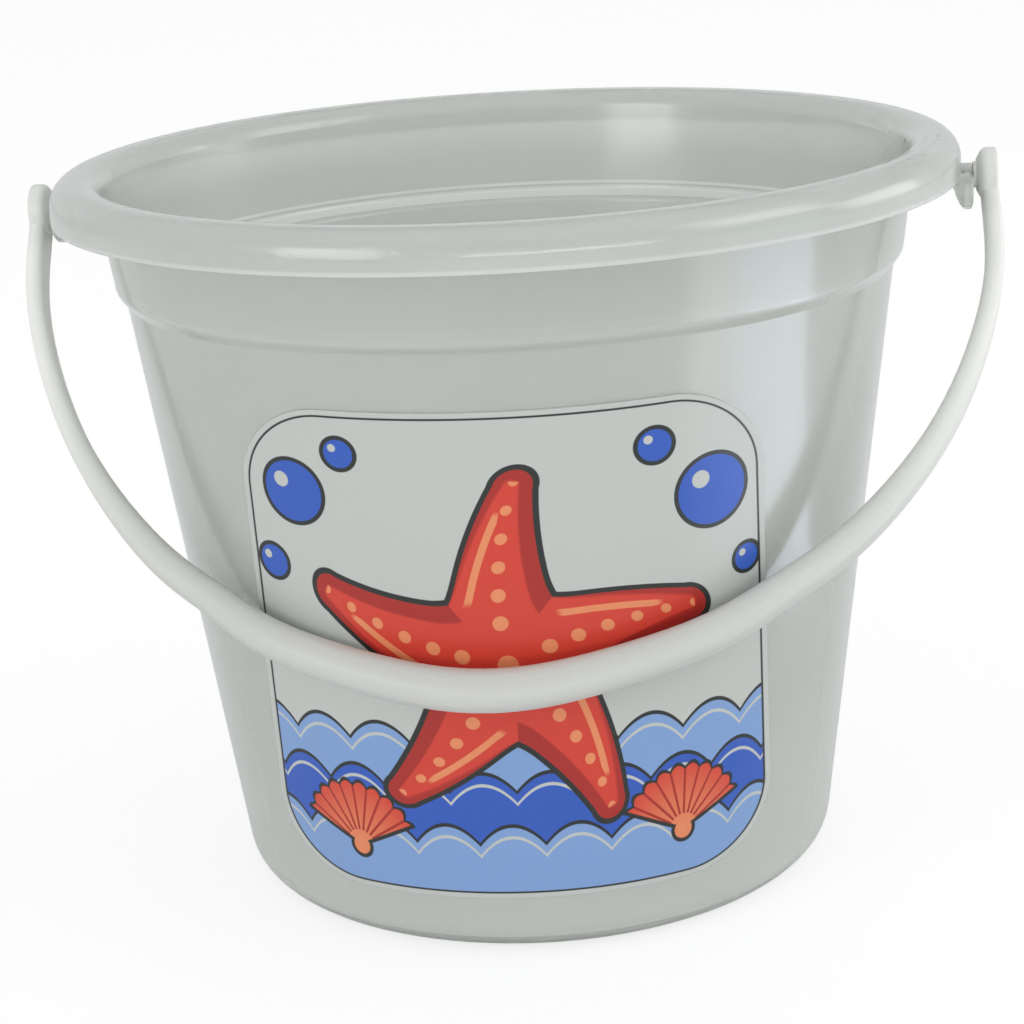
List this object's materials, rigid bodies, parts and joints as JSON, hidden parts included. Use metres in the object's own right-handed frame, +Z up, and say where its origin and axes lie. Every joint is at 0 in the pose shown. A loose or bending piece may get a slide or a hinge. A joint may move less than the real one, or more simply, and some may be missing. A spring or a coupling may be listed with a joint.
{
  "type": "bucket",
  "caption": "Round tapered seaside bucket with a rolled rim, a printed front and a plastic bail handle that swings on two snap-in studs.",
  "frame": {"origin": "on the ground, under the middle of the bucket", "axes": "+Z up; X along the handle's pivots; -Y is the printed front, where the lowered handle rests"},
  "size_m": [0.261, 0.24, 0.1964],
  "materials": {
    "bucket_plastic": "frosted translucent white polypropylene, soft gloss",
    "handle_plastic": "opaque warm white, satin",
    "print_film": "coloured printed film, soft gloss"
  },
  "bodies": {
    "bucket": {"bucket_body": "bucket_plastic", "front_print": "print_film"},
    "handle": {"bail_handle": "handle_plastic"}
  },
  "joints": [
    {"name": "handle_swing", "type": "hinge", "parent": "bucket", "child": "handle", "pos_m": [0, 0, 0.1842], "axis": [-1, 0, 0], "range_deg": [0, 274]}
  ]
}
